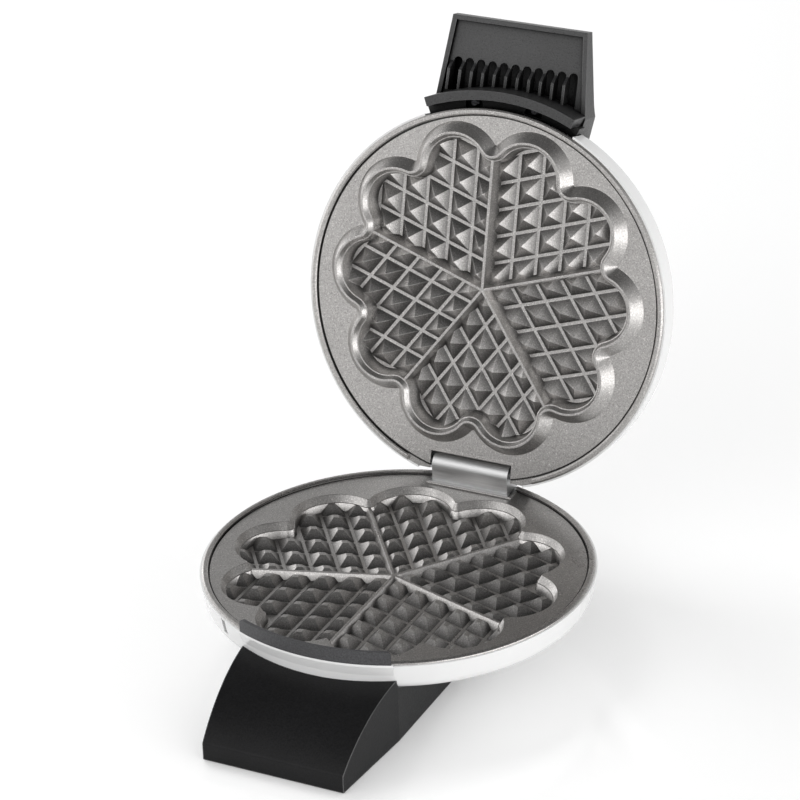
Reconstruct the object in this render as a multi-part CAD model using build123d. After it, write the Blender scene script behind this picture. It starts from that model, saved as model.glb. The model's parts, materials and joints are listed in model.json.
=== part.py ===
from build123d import *
from math import atan2, cos, degrees, pi, radians, sin, sqrt, tan
import os

os.makedirs("parts", exist_ok=True)

# Heart waffle maker, standing on z = 0 with its lid open. X runs along the hinge, the front is at -Y.
# The origin lies on the table, under the middle of the open appliance.
# Pieces are drawn in plate coordinates: about the plates' axis, with the lower plate's rim at z = 0
# and the lid shut. in_base() and in_lid() then put them where they stand at rest.

# Overall arrangement
plate_level = 42.3        # lower plate's rim above the table
closed_gap = 0.4          # between the two rims when the lid is shut
open_angle = 103.3        # lid's angle at rest
seat_gap = 0.1            # between curved pieces that seat on each other
screw_gap = 0.2           # between a screw's shank and its clearance hole

# Flower of hearts
heart_count = 5
lobe_reach = 59.5         # lobe centres from the flower's centre
lobe_radius = 22.5
tip_radius = 0.8          # rounding of the surround's points between the lobes
flower_shift = 5.1        # flower's centre in front of the plate's centre
flower_margin = 1.5       # from the front lobes to the groove inside the rim

# Plates
rim_width = 3.0           # raised rim round each plate
rim_bevel = 0.8
rim_overhang = 1.6        # depth of the rim's lip that lies on the shell
line_width = 0.6          # fine groove inside the rim
line_depth = 0.5
surround_drop = 1.5       # flat surround below the rim
surround_wall = 3.5
floor_wall = 2.8          # metal behind the hearts' floors
skirt_inset = 2.6         # plate's skirt inside the rim's edge
boss_margin = 1.5         # plate's thick back beyond the flower
plate_radius = lobe_reach + lobe_radius + flower_shift + flower_margin + line_width + rim_width

# Lower plate, levels from the rim
lower_edge_inset = 0.5
lower_ridge_level = -5.0
lower_floor_level = -9.0

# Upper plate, levels from the rim, towards the food
upper_collar_rise = 4.5   # raised collar that dips into the lower plate
upper_collar_slope = 4.5  # how far the collar's outer wall draws in
upper_collar_top = 1.0    # width of the collar's crest
upper_ridge_level = 2.0
upper_floor_level = -6.0

# Hearts and pyramids
wall_draft = 0.55         # inward run of a recess wall for each mm of depth
inner_draft = 0.22        # the same for the hearts' own walls
ledge_width = 0.4         # step between the flower recess and the hearts
ridge_top = 1.2           # width of the ridges between hearts
ridge_foot = 4.6
pyramid_pitch = 12.4      # across the flats of the rhombic grid
pyramid_rise = 5.3
groove_width = 1.5        # flat lines between pyramids
first_line = 11.0         # first line from a ridge's middle

# Pillars and screws that hold the plates
pillar_radius = 4.5
pillar_clearance = 4.3    # between the pillars and the heater's ring
pillar_angles = (50, 150, 262)
plate_screw_radius = 1.75
plate_screw_bite = 6.5    # length that turns into the pillar
plate_screw_head = 3.3
shell_boss_radius = 6.0
screw_head_height = 2.0
counterbore = 9.0         # depth of the screws' recesses under the shell

# Heaters and reflectors
heater_radius = 3.2       # tube's radius
heater_ring = 46.0
heater_opening = 34.0     # angle left open between the tube's ends
heater_tail = 9.0         # the ends' reach away from the plate
tail_clearance = 0.8      # round the tube's ends in the reflector
pillar_ring = heater_ring + heater_radius + pillar_clearance + pillar_radius
reflector_sheet = 0.6
reflector_margin = 1.0    # its flat floor beyond the pillars
reflector_floor = pillar_ring + pillar_radius + reflector_margin
reflector_slope = 6.5     # how far its wall spreads
reflector_radius = reflector_floor + reflector_slope
reflector_flange = 3.0
reflector_room = 1.6      # between the heater and the reflector
reflector_depth = 2 * heater_radius + reflector_room

# Lower shell
shell_wall = 2.2
shell_margin = 1.0        # both shells' rims beyond the plates
shell_radius = plate_radius + shell_margin
belt_draw = 2.2           # how far the belt draws in
belt_radius = shell_radius - belt_draw
belt_level = -13.5        # lower end of the upright belt
bowl_run = 42.0           # the sloping part, measured inwards
bowl_radius = belt_radius - bowl_run
bowl_level = -34.0        # underside of the shell
belt_rounding = 5.0
bowl_rounding = 10.0
vent_length = 22.0
vent_width = 2.6
vent_pitch = 7.0
vent_count = 7
vent_back = 8.0           # vents' middle behind the centre
slit_width = 3.4          # small upright slit in the belt
slit_height = 7.4
slit_angle = 236.0
slit_level = -6.0

# Feet
pad_thickness = 1.5       # rubber pads, partly sunk in their recesses
pad_proud = 0.5
rear_foot_radius = 8.0
rear_foot_draft = 5.0     # degrees, wider towards the shell
rear_foot_top = -10.2     # hidden inside the shell's belt
rear_pad_radius = 5.5
rear_foot_side = 36.0
rear_foot_back = shell_radius - 22.0
foot_overhang = 37.8      # front foot's front face before the shell
foot_reach = shell_radius + foot_overhang
foot_face = 8.5           # height of the front face
foot_front_half = 35.2
foot_root_half = 39.0
foot_root_reach = shell_radius - 11.0    # where its top meets the shell
foot_root_level = -9.7
foot_bulge = 5.0          # how far its top arches above a straight line
foot_wall = 2.6
foot_back_reach = shell_radius - 74.0    # its rear end, under the shell
foot_rib_width = 2.0
foot_rib_side = 13.0
foot_nose = 1.6           # rounding along the front edge
front_pad_length = 14.0
front_pad_width = 7.0
front_pad_side = 24.0
foot_screw_side = 26.0
foot_screw_reach = foot_back_reach + 21.0
foot_screw_radius = 1.7
foot_screw_length = 12.0
foot_boss_radius = 4.2

# Front apron
apron_gap = 0.7           # from the lid's rim when shut
apron_wall = 1.6
apron_rise = 6.4
apron_foot = -0.3         # lower edge of its wall
apron_half_angle = 23.8
apron_flange = 0.8        # its foot, held between the plate's lip and the shell
apron_neck_gap = 0.3      # from the plate's rim to the neck that joins wall and flange
apron_neck = 0.8
swelling_level = -7.5     # lower end of the shell's swelling under the apron
swelling_face = 1.2       # upright part of its outside

# Hinge, from its axis
hinge_back = plate_radius - 6.6
hinge_rise = 7.1          # above the lower plate's rim
tower_radius = 6.0        # rolled top of the hinge cover
tower_half = 20.0
tower_clearance = 0.5
notch_clearance = 0.6     # before the hinge cover
notch_front = hinge_back - tower_radius - notch_clearance
notch_half = tower_half + 1.4
notch_border = 1.0
notch_border_rise = 0.8
cover_sheet = 1.2
cover_lip = 2.0
cover_lip_wall = 0.8
barrel_radius = 4.2
barrel_half = tower_half - cover_sheet - 1.3
web_wall = 3.0
pin_radius = 2.0
pin_clearance = 0.05
ear_inner = notch_half + 1.2
ear_wall = 3.0
ear_radius = 3.7
clip_gap = 0.3
clip_wall = 0.8
clip_radius = 3.4
pin_end = 0.4
pin_half = ear_inner + ear_wall + clip_gap + clip_wall + pin_end
bracket_sheet = 2.0
bracket_drop = 9.5        # bracket's foot below the rim
hinge_screw_side = 11.0
hinge_screw_back = hinge_back - 3.7
hinge_screw_radius = 1.3
hinge_screw_head = 2.0
hinge_screw_length = 5.5
lid_notch_half = pin_half + 0.7    # slot in the lid's shell round the hinge
relief_half = lid_notch_half + 0.7 # thinner surround over the hinge's ears
relief_wall = 1.2
rim_cut_half = 33.0       # upper plate's rim is cut away this far to each side
rim_cut_overlap = 2.4     # what is left of the plate behind the hinge's axis
lid_web_front = hinge_back - 16.1
lid_web_back = hinge_back - 5.6
lid_web_clearance = 1.0   # above the hinge cover's roll
lid_web_screw_side = 16.0
lid_web_screw_back = hinge_back - 11.6

# Upper shell
dome_belt_draw = 1.0      # how far the belt draws in
dome_belt_radius = shell_radius - dome_belt_draw
dome_belt_level = 17.0
dome_run = 21.0           # the sloping part, measured inwards
dome_shoulder_radius = dome_belt_radius - dome_run
dome_shoulder_level = 33.0
dome_rise = 5.0           # of the crown above the shoulder
dome_level = dome_shoulder_level + dome_rise
dome_belt_rounding = 7.0
dome_shoulder_rounding = 24.0

# Handle
lip_clearance = 1.7           # between the apron and the lip
lip_inner = plate_radius + apron_gap + apron_wall + lip_clearance
handle_length = 35.5          # beyond the lip's inner face
handle_reach = lip_inner + handle_length
handle_tip_half = 35.0
handle_root_half = 39.0
handle_root_reach = lip_inner - 5.0
handle_bend_reach = lip_inner # top bends up here into the sloped panel
panel_length = 53.0           # sloped panel, measured inwards
handle_tail_reach = handle_bend_reach - panel_length
handle_tail_half = 25.0
handle_tail_rounding = 12.0
handle_root_under = 14.0
handle_droop = 4.4            # how much higher the side walls' edges are at the tip
handle_tip_under = handle_root_under + handle_droop
handle_tip_height = 6.2
handle_tip_top = handle_tip_under + handle_tip_height
handle_bend_height = 12.4
handle_bend_top = handle_root_under + handle_bend_height
panel_rise = 4.0              # panel's end above the shell's crown
handle_tail_top = dome_level + panel_rise
handle_bend_rounding = 25.0
handle_edge = 1.2
handle_wall = 2.2
handle_fit = 0.1
panel_sink = 1.5              # underside panel above the side walls' edges
panel_wall = 1.8
slot_count = 11
slot_pitch = 6.0
slot_width = 4.5
slot_length = 15.7            # from the lip to the slots' round ends
fin_rise = 3.6
fin_wall = 1.3
fin_lead = 2.0                # fins start this far behind the slots' ends
lip_wall = 4.6
lip_half_angle = 22.8
lip_level = 0.9               # lower edge above the lower plate's rim
lip_top = 18.0
guard_gap = 0.8               # above the apron
window_margin = 0.6           # shell's front window beyond the apron, in degrees
pocket_angle = 9.5
pocket_width = 9.0
pocket_span = 4.6
pocket_reach = lip_inner - 2.1
pocket_depth = 2.2
handle_screw_radius = 1.4
handle_screw_head = 2.1
handle_screw_bite = 5.0
handle_boss_radius = 3.2
tail_screw_side = 12.0
tail_screw_reach = handle_tail_reach + 8.0
tail_screw_length = 5.5

# Control, along the sloped panel's normal
dial_reach = handle_tail_reach + 24.0
dial_radius = 13.0
dial_height = 7.5
dial_draft = 3.0              # degrees
dial_flutes = 18
dial_flute_radius = 1.1
dial_gap = 0.5
dial_edge = 0.8
dial_mark_width = 1.2
dial_mark_depth = 0.5
spindle_radius = 3.0
spindle_clearance = 0.06
spindle_flat = 2.2            # its D-shaped end in the dial
spindle_bite = 5.0            # in the dial
thermostat_radius = 10.0
thermostat_height = 6.0
thermostat_drop = 7.5         # its top below the panel
tab_width = 4.0               # its two blade terminals
tab_sheet = 0.8
tab_length = 4.0
bush_radius = 4.6
bush_gap = 0.4
lens_radius = 2.4
lens_side = 21.0
lens_proud = 0.8
lens_length = 7.0
lamp_length = 5.0

# Electrical pieces
terminal_length = 26.0
terminal_width = 13.0
terminal_height = 9.0
terminal_back = 24.0
terminal_ways = 3
terminal_bore = 1.5
grommet_radius = 3.2
grommet_bore = 2.2
grommet_flange = 1.4
grommet_flange_radius = 4.2
grommet_level = -9.0
grommet_angle = 64.0
grommet_inside = 6.0
fuse_radius = 2.0
fuse_length = 18.0
fuse_clip_width = 6.0
fuse_clip_sheet = 0.8


def opened(shape):
    """Swing a piece of the shut lid open about the hinge."""
    return Pos(0, hinge_back, hinge_rise) * Rot(-open_angle, 0, 0) * Pos(0, -hinge_back, -hinge_rise) * shape


def polar(radius, angle):
    return Vector(radius * cos(radians(angle)), radius * sin(radians(angle)))


def cylinder(radius, low, high, x=0.0, y=0.0):
    """Upright cylinder between two levels."""
    return Pos(x, y, low) * extrude(Circle(radius), high - low)


def box_between(x0, x1, y0, y1, z0, z1):
    """Block between two opposite corners, given in any order along X."""
    return Pos((x0 + x1) / 2, (y0 + y1) / 2, (z0 + z1) / 2) * Box(abs(x1 - x0), y1 - y0, z1 - z0)


def side_extrusion(face_yz, half):
    """Prism across X, from a face drawn with x as Y and y as Z."""
    return Plane.YZ.offset(-half) * extrude(face_yz, 2 * half)


def sector(inner, outer, half_angle, low, high):
    """Curved wall about the plates' axis, centred on the front."""
    ends = [polar(inner, 270 - half_angle), polar(outer, 270 - half_angle),
            polar(outer, 270 + half_angle), polar(inner, 270 + half_angle)]
    outline = [Line(ends[0], ends[1]),
               ThreePointArc(ends[1], polar(outer, 270), ends[2]),
               Line(ends[2], ends[3]),
               ThreePointArc(ends[3], polar(inner, 270), ends[0])]
    return Pos(0, 0, low) * extrude(make_face(outline), high - low)


# Flower and heart outlines

lobe_step = 180 / heart_count
tip_reach = (lobe_reach * cos(radians(lobe_step / 2))
             + sqrt((lobe_radius + tip_radius) ** 2 - (lobe_reach * sin(radians(lobe_step / 2))) ** 2))


def toward(start, end, distance):
    return start + (end - start).normalized() * distance


def lobe_arc(angle, inset):
    """Outer arc of one lobe, from its clockwise tip to the other."""
    centre = polar(lobe_reach, angle)
    radius = lobe_radius - inset
    first = toward(centre, polar(tip_reach, angle - lobe_step / 2), radius)
    last = toward(centre, polar(tip_reach, angle + lobe_step / 2), radius)
    return ThreePointArc(first, polar(lobe_reach + radius, angle), last)


def flower(inset):
    """Ten-lobed outline, drawn in by inset."""
    edges = []
    for index in range(2 * heart_count):
        angle = 90 + (index + 0.5) * lobe_step
        lobe = lobe_arc(angle, inset)
        following = lobe_arc(angle + lobe_step, inset)
        tip = polar(tip_reach - tip_radius - inset, angle + lobe_step / 2)
        edges += [lobe, ThreePointArc(lobe @ 1, tip, following @ 0)]
    return make_face(edges)


def heart(inset, ridge_half):
    """One heart, pointing along +Y, between ridges that are 2 * ridge_half wide."""
    lobes = [lobe_arc(90 - lobe_step / 2, inset), lobe_arc(90 + lobe_step / 2, inset)]
    tip_arc_radius = tip_radius + inset
    along = tip_reach - sqrt(tip_arc_radius ** 2 - ridge_half ** 2)
    side_angle = 90 - lobe_step
    ray = polar(1, side_angle)
    inward = Vector(-ray.Y, ray.X)
    right = ray * along + inward * ridge_half
    left = Vector(-right.X, right.Y)
    # the short arc at the ridge's end bends about the surround's point
    tip_centre = polar(tip_reach, side_angle)
    middle_way = (right - tip_centre).normalized() + ((lobes[0] @ 0) - tip_centre).normalized()
    right_mid = tip_centre + middle_way.normalized() * tip_arc_radius
    left_mid = Vector(-right_mid.X, right_mid.Y)
    apex = Vector(0, ridge_half / sin(radians(lobe_step)))
    dimple = polar(tip_reach - tip_radius - inset, 90)
    edges = [Line(apex, right), ThreePointArc(right, right_mid, lobes[0] @ 0), lobes[0],
             ThreePointArc(lobes[0] @ 1, dimple, lobes[1] @ 0), lobes[1],
             ThreePointArc(lobes[1] @ 1, left_mid, left), Line(left, apex)]
    return make_face(edges)


def between(face_low, low, face_high, high):
    """Straight-walled solid between two outlines with the same number of edges."""
    return loft([Pos(0, 0, low) * face_low, Pos(0, 0, high) * face_high], ruled=True)


def pyramid(corners, low, apex_level):
    """Four-sided pyramid on a short plinth."""
    plinth = 0.5
    peak = (corners[0] + corners[2]) * 0.5 + Vector(0, 0, apex_level)
    base = [corner + Vector(0, 0, low) for corner in corners]
    foot = [corner + Vector(0, 0, low - plinth) for corner in corners]
    faces = [Face(Wire.make_polygon(foot))]
    for index in range(4):
        after = (index + 1) % 4
        faces.append(Face(Wire.make_polygon([foot[index], foot[after], base[after], base[index]])))
        faces.append(Face(Wire.make_polygon([base[index], base[after], peak])))
    return Solid(Shell(faces))


def heart_recess(mouth_inset, ridge_level, floor_level):
    """What is cut away for one heart: its recess, less the rhombic pyramids that stand in it."""
    entry = 0.5
    floor_inset = mouth_inset + inner_draft * (ridge_level - floor_level)
    ridge_slope = (ridge_foot - ridge_top) / 2 / (ridge_level - floor_level)
    top = heart(mouth_inset - inner_draft * entry, ridge_top / 2 - ridge_slope * entry)
    recess = between(heart(floor_inset, ridge_foot / 2), floor_level, top, ridge_level + entry)
    ray_right = polar(1, 90 - lobe_step)
    ray_left = polar(1, 90 + lobe_step)
    skew = sin(radians(2 * lobe_step))
    near_floor = heart(floor_inset - pyramid_pitch / 4, ridge_top / 2)
    half_groove = groove_width / 2
    rows = int((lobe_reach + lobe_radius) / pyramid_pitch) + 1
    pyramids = []
    for row in range(rows):
        for column in range(rows):
            starts = [first_line + (step - 1) * pyramid_pitch + half_groove for step in (row, column)]
            ends = [start + pyramid_pitch - groove_width for start in starts]
            spans = [(starts[0], starts[1]), (ends[0], starts[1]), (ends[0], ends[1]), (starts[0], ends[1])]
            corners = [(ray_right * a + ray_left * b) * (1 / skew) for a, b in spans]
            if near_floor.is_inside((corners[0] + corners[2]) * 0.5):
                pyramids.append(pyramid(corners, floor_level, floor_level + pyramid_rise))
    return recess - pyramids


def disc_profile(back_level):
    """Section of a plate's disc: bevelled rim, fine groove, flat surround and skirt."""
    rim_in = plate_radius - rim_width
    skirt = plate_radius - skirt_inset
    outline = [
        Line((0, back_level), (0, -surround_drop)),
        Line((0, -surround_drop), (rim_in - line_width, -surround_drop)),
        Line((rim_in - line_width, -surround_drop), (rim_in - line_width, -surround_drop - line_depth)),
        Line((rim_in - line_width, -surround_drop - line_depth), (rim_in, -surround_drop - line_depth)),
        Line((rim_in, -surround_drop - line_depth), (rim_in, -rim_bevel)),
        Line((rim_in, -rim_bevel), (rim_in + rim_bevel, 0)),
        Line((rim_in + rim_bevel, 0), (plate_radius - rim_bevel, 0)),
        Line((plate_radius - rim_bevel, 0), (plate_radius, -rim_bevel)),
        Line((plate_radius, -rim_bevel), (plate_radius, -rim_overhang)),
        Line((plate_radius, -rim_overhang), (skirt, -rim_overhang)),
        Line((skirt, -rim_overhang), (skirt, back_level)),
        Line((skirt, back_level), (0, back_level)),
    ]
    return make_face(outline)


def cooking_plate(collar_rise, mouth_inset, mouth_level, ridge_level, floor_level, pillar_length):
    """Cast plate in its own frame: rim at z = 0, food side up, flower moved to the front."""
    surround_back = -surround_drop - surround_wall
    floor_back = floor_level - floor_wall
    plate = revolve(Plane.XZ * disc_profile(surround_back), Axis.Z)
    front = Pos(0, -flower_shift, 0)
    boss_radius = lobe_reach + lobe_radius + boss_margin
    plate += front * cylinder(boss_radius, floor_back, -surround_drop - line_depth)
    for angle in pillar_angles:
        place = polar(pillar_ring, angle)
        plate += front * cylinder(pillar_radius, floor_back - pillar_length, floor_level - floor_wall / 2,
                                  place.X, place.Y)
    if collar_rise > 0:
        crest = flower(upper_collar_slope)
        plate += front * between(flower(0), -surround_drop, crest, collar_rise)
    ridge_inset = mouth_inset + wall_draft * (mouth_level - ridge_level)
    plate -= front * between(flower(ridge_inset), ridge_level, flower(mouth_inset), mouth_level)
    recess = heart_recess(ridge_inset + ledge_width, ridge_level, floor_level)
    plate -= [front * Rot(0, 0, index * 360 / heart_count) * recess for index in range(heart_count)]
    # opening for the hinge, with its raised border
    border_half = notch_half + notch_border
    border = box_between(-border_half, border_half, notch_front - notch_border, plate_radius - rim_width,
                         -surround_drop, -surround_drop + notch_border_rise)
    plate += border
    plate -= box_between(-notch_half, notch_half, notch_front, 1.1 * plate_radius,
                         floor_back - 1, collar_rise + 1)
    plate -= box_between(-relief_half, relief_half, notch_front, 1.1 * plate_radius,
                         floor_back - 1, -surround_drop - relief_wall)
    for angle in pillar_angles:
        place = polar(pillar_ring, angle)
        end = floor_back - pillar_length
        plate -= front * cylinder(plate_screw_radius, end - 1, end + plate_screw_bite, place.X, place.Y)
    return plate


def corner_shift(wall, turn):
    """How far a corner moves along one side when a wall is set in from both."""
    return wall * tan(turn / 2)


def corner_at(face, point):
    """The corner of a flat outline that lies at a point."""
    return face.vertices().sort_by_distance(Vector(*point))[0]


def bowl_face(inset, rim_level, overrun):
    """Half section of the lower shell's body, set in by inset and run past its rim by overrun."""
    slope = atan2(belt_level - bowl_level, belt_radius - bowl_radius)
    low = (bowl_radius - corner_shift(inset, slope), bowl_level + inset)
    belt = (belt_radius - inset, belt_level + corner_shift(inset, pi / 2 - slope))
    rim = (shell_radius - inset, rim_level + overrun)
    outline = Polyline((0, bowl_level + inset), low, belt, rim, (0, rim_level + overrun), close=True)
    face = fillet(corner_at(make_face(outline), low), bowl_rounding - inset)
    return fillet(corner_at(face, belt), belt_rounding - inset)


def crown_drop(reach, edge, rise):
    """How far a shallow crown, rise high over its edge, has fallen at a distance from its axis."""
    crown_radius = (edge ** 2 + rise ** 2) / (2 * rise)
    return crown_radius - sqrt(crown_radius ** 2 - reach ** 2)


def dome_face(inset, rim_level, overrun):
    """Half section of the upper shell's body, set in by inset and run past its rim by overrun."""
    slope = atan2(dome_shoulder_level - dome_belt_level, dome_belt_radius - dome_shoulder_radius)
    rim = (shell_radius - inset, rim_level - overrun)
    belt = (dome_belt_radius - inset, dome_belt_level - corner_shift(inset, pi / 2 - slope))
    shoulder = (dome_shoulder_radius - corner_shift(inset, slope), dome_shoulder_level - inset)
    crown = (0, dome_level - inset)
    mid_drop = crown_drop(shoulder[0] / 2, shoulder[0], crown[1] - shoulder[1])
    outline = [Line((0, rim[1]), rim), Line(rim, belt), Line(belt, shoulder),
               ThreePointArc(shoulder, (shoulder[0] / 2, crown[1] - mid_drop), crown),
               Line(crown, (0, rim[1]))]
    face = fillet(corner_at(make_face(outline), shoulder), dome_shoulder_rounding - inset)
    return fillet(corner_at(face, belt), dome_belt_rounding - inset)


def bowl_solid(inset, overrun):
    return revolve(Plane.XZ * bowl_face(inset, -rim_overhang, overrun), Axis.Z)


def dome_solid(inset, overrun):
    return revolve(Plane.XZ * dome_face(inset, closed_gap + rim_overhang, overrun), Axis.Z)


# Levels and places that several pieces share, in plate coordinates with the lid shut

foot_level = pad_proud - plate_level
lower_back = lower_floor_level - floor_wall
lower_reflector_level = lower_back - reflector_depth
upper_back = upper_floor_level - floor_wall
upper_frame = Pos(0, 0, closed_gap) * Rot(0, 180, 0)
window_half_angle = apron_half_angle + window_margin
apron_inner = plate_radius + apron_gap
apron_neck_reach = plate_radius + apron_neck_gap + apron_neck
lip_outer = lip_inner + lip_wall
guard_inner = shell_radius - shell_wall
guard_level = apron_rise + guard_gap
lid_web_level = hinge_rise + tower_radius + lid_web_clearance
flower_front = Pos(0, -flower_shift, 0)
hinge_axis = Pos(0, hinge_back, hinge_rise)
pillar_places = [polar(pillar_ring, angle) - Vector(0, flower_shift) for angle in pillar_angles]


def across(radius, start, end):
    """Cylinder along X on the hinge axis."""
    return hinge_axis * Pos(start, 0, 0) * Rot(0, 90, 0) * extrude(Circle(radius), end - start)


def both_sides(shape):
    return [shape, mirror(shape, Plane.YZ)]


def screw(x, y, head_level, way, shank_radius, head_radius, length):
    """Pan-head screw along Z. The head's seat is at head_level and the shank runs the given way."""
    shank = cylinder(shank_radius, 0, length)
    head = cylinder(head_radius, -screw_head_height, 0)
    head = chamfer(head.edges().sort_by(Axis.Z)[0], screw_head_height / 3)
    slot = box_between(-head_radius, head_radius, -shank_radius / 4, shank_radius / 4,
                       -screw_head_height - 1, -screw_head_height / 2)
    turn = Rot(0, 0, 0) if way > 0 else Rot(180, 0, 0)
    return Pos(x, y, head_level) * turn * (shank + head - slot)


# Plates and what is behind them

def lower_plate():
    return cooking_plate(0, lower_edge_inset, -surround_drop, lower_ridge_level, lower_floor_level,
                         reflector_depth)


def upper_plate():
    """Upper plate. Behind the hinge's axis its rim is cut away, so that it clears the lower plate's."""
    plate = cooking_plate(upper_collar_rise, upper_collar_slope + upper_collar_top, upper_collar_rise,
                          upper_ridge_level, upper_floor_level, reflector_depth)
    plate -= box_between(-rim_cut_half, rim_cut_half, notch_front, 1.1 * plate_radius, -surround_drop, 1)
    plate -= box_between(-relief_half, relief_half, hinge_back + rim_cut_overlap, 1.1 * plate_radius,
                         upper_back - 1, 1)
    return upper_frame * plate


def heater(plate_back):
    """Tubular heater clamped to a plate's back, its ends bent away from the plate."""
    # the ring is pressed to a blunt triangle, broad against the plate
    half, level = heater_radius, heater_radius
    section = make_face(Polyline((-half, level), (half, level), (1.1 * half, 0.4 * level), (0.45 * half, -level),
                                 (-0.45 * half, -level), (-1.1 * half, 0.4 * level), close=True))
    ring = revolve(Plane.XZ * Pos(heater_ring, 0) * section, Axis.Z, 360 - heater_opening)
    body = Rot(0, 0, 90 + heater_opening / 2) * ring
    for side in (-1, 1):
        place = polar(heater_ring, 90 + side * heater_opening / 2)
        body += cylinder(heater_radius, -heater_tail, 0, place.X, place.Y)
        body += Pos(place.X, place.Y, 0) * Sphere(heater_radius)
    return flower_front * Pos(0, 0, plate_back - heater_radius) * body


def reflector(plate_back):
    """Dished sheet over a plate's back, with holes for the screws and the heater's ends."""
    floor = plate_back - reflector_depth
    rim = plate_back - reflector_sheet
    outer = floor - reflector_sheet
    inside = reflector_radius - reflector_sheet
    flange = reflector_radius + reflector_flange
    outline = Polyline((0, floor), (reflector_floor, floor), (inside, plate_back), (flange, plate_back),
                       (flange, rim), (reflector_radius, rim), (reflector_floor + reflector_sheet, outer),
                       (0, outer), close=True)
    dish = revolve(Plane.XZ * make_face(outline), Axis.Z)
    low, high = outer - 1, floor + 1
    for angle in pillar_angles:
        place = polar(pillar_ring, angle)
        dish -= cylinder(plate_screw_radius + screw_gap, low, high, place.X, place.Y)
    for angle in (90 - heater_opening / 2, 90 + heater_opening / 2):
        place = polar(heater_ring, angle)
        dish -= cylinder(heater_radius + tail_clearance, low, high, place.X, place.Y)
    return flower_front * dish


def lower_plate_screws():
    seat = bowl_level + counterbore
    length = lower_reflector_level - seat + plate_screw_bite
    return [screw(place.X, place.Y, seat, 1, plate_screw_radius, plate_screw_head, length)
            for place in pillar_places]


def upper_plate_screws():
    seat = upper_back - reflector_depth - reflector_sheet
    length = reflector_sheet + plate_screw_bite
    return [upper_frame * screw(place.X, place.Y, seat, 1, plate_screw_radius, plate_screw_head, length)
            for place in pillar_places]


# Lower shell

def rear_foot_places():
    return [(side * rear_foot_side, rear_foot_back) for side in (-1, 1)]


def grommet_frame():
    place = polar((shell_radius + belt_radius) / 2, grommet_angle)
    return Pos(place.X, place.Y, grommet_level) * Rot(0, 0, grommet_angle) * Rot(0, 90, 0)


def hinge_block_level():
    return -bracket_drop - bracket_sheet


def swelling():
    """What the apron stands on: the shell's front, swollen out to the apron's outside."""
    inside = apron_neck_reach + seat_gap
    outside = apron_inner + apron_wall - seat_gap
    root = -rim_overhang - apron_flange
    belt_side = shell_radius - belt_draw * swelling_level / belt_level
    outline = Polyline((inside, root), (inside, apron_foot - seat_gap), (outside, apron_foot - seat_gap),
                       (outside, apron_foot - swelling_face), (belt_side, swelling_level),
                       (belt_side - shell_wall / 2, swelling_level), (guard_inner + shell_wall / 2, root),
                       close=True)
    ring = revolve(Plane.XZ * make_face(outline), Axis.Z, revolution_arc=2 * window_half_angle)
    return Rot(0, 0, -90 - window_half_angle) * ring


def lower_shell():
    body = bowl_solid(0, 0)
    shell = body - bowl_solid(shell_wall, 1)
    # bosses for the plate's screws, with their recesses from below
    reflector_under = lower_reflector_level - reflector_sheet
    for place in pillar_places:
        shell += cylinder(shell_boss_radius, bowl_level, reflector_under, place.X, place.Y) & body
    foot = extrude(Circle(rear_foot_radius), rear_foot_top - foot_level, taper=-rear_foot_draft)
    for x, y in rear_foot_places():
        shell += Pos(x, y, foot_level) * foot - bowl_solid(shell_wall, 1)
    # block under the hinge bracket, and bosses for the front foot
    block = box_between(-barrel_half, barrel_half, notch_front + 0.6, belt_radius,
                        bowl_level, hinge_block_level())
    shell += block & body
    for side in (-1, 1):
        shell += cylinder(foot_boss_radius, bowl_level, bowl_level + foot_screw_length,
                          side * foot_screw_side, -foot_screw_reach)
    for place in pillar_places:
        shell -= cylinder(plate_screw_radius + screw_gap, bowl_level - 1, reflector_under + 1, place.X, place.Y)
        shell -= cylinder(plate_screw_head + screw_gap, bowl_level - 1, bowl_level + counterbore,
                          place.X, place.Y)
    for x, y in rear_foot_places():
        shell -= cylinder(rear_pad_radius, foot_level - 1, foot_level + pad_thickness - pad_proud, x, y)
    for side in (-1, 1):
        shell -= cylinder(foot_screw_radius, bowl_level - 1, bowl_level + foot_screw_length - shell_wall,
                          side * foot_screw_side, -foot_screw_reach)
        shell -= cylinder(hinge_screw_radius, hinge_block_level() - hinge_screw_length,
                          hinge_block_level() + 1, side * hinge_screw_side, hinge_screw_back)
    # cooling vents through the bottom
    for index in range(vent_count):
        x = (index - (vent_count - 1) / 2) * vent_pitch
        vent = extrude(SlotOverall(vent_length, vent_width, rotation=90), 3 * shell_wall)
        shell -= Pos(x, vent_back, bowl_level - shell_wall) * vent
    # rim lowered under the apron's flange, small slit, cable outlet
    shell -= sector(guard_inner - shell_wall, 1.1 * shell_radius, window_half_angle,
                    -rim_overhang - apron_flange, 1)
    shell += swelling()
    slit_place = polar(shell_radius, slit_angle)
    slit = Box(4 * shell_wall, slit_width, slit_height)
    shell -= Pos(slit_place.X, slit_place.Y, slit_level) * Rot(0, 0, slit_angle) * slit
    shell -= grommet_frame() * Pos(0, 0, -10) * extrude(Circle(grommet_radius), 20)
    return shell


def cable_grommet():
    """Rubber bush in the cable outlet, its bore blind."""
    outline = Polyline((0, -grommet_inside), (grommet_radius, -grommet_inside), (grommet_radius, shell_wall),
                       (grommet_flange_radius, shell_wall),
                       (grommet_flange_radius, shell_wall + grommet_flange),
                       (grommet_bore, shell_wall + grommet_flange), (grommet_bore, -grommet_inside / 2),
                       (0, -grommet_inside / 2), close=True)
    return grommet_frame() * revolve(Plane.XZ * make_face(outline), Axis.Z)


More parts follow.
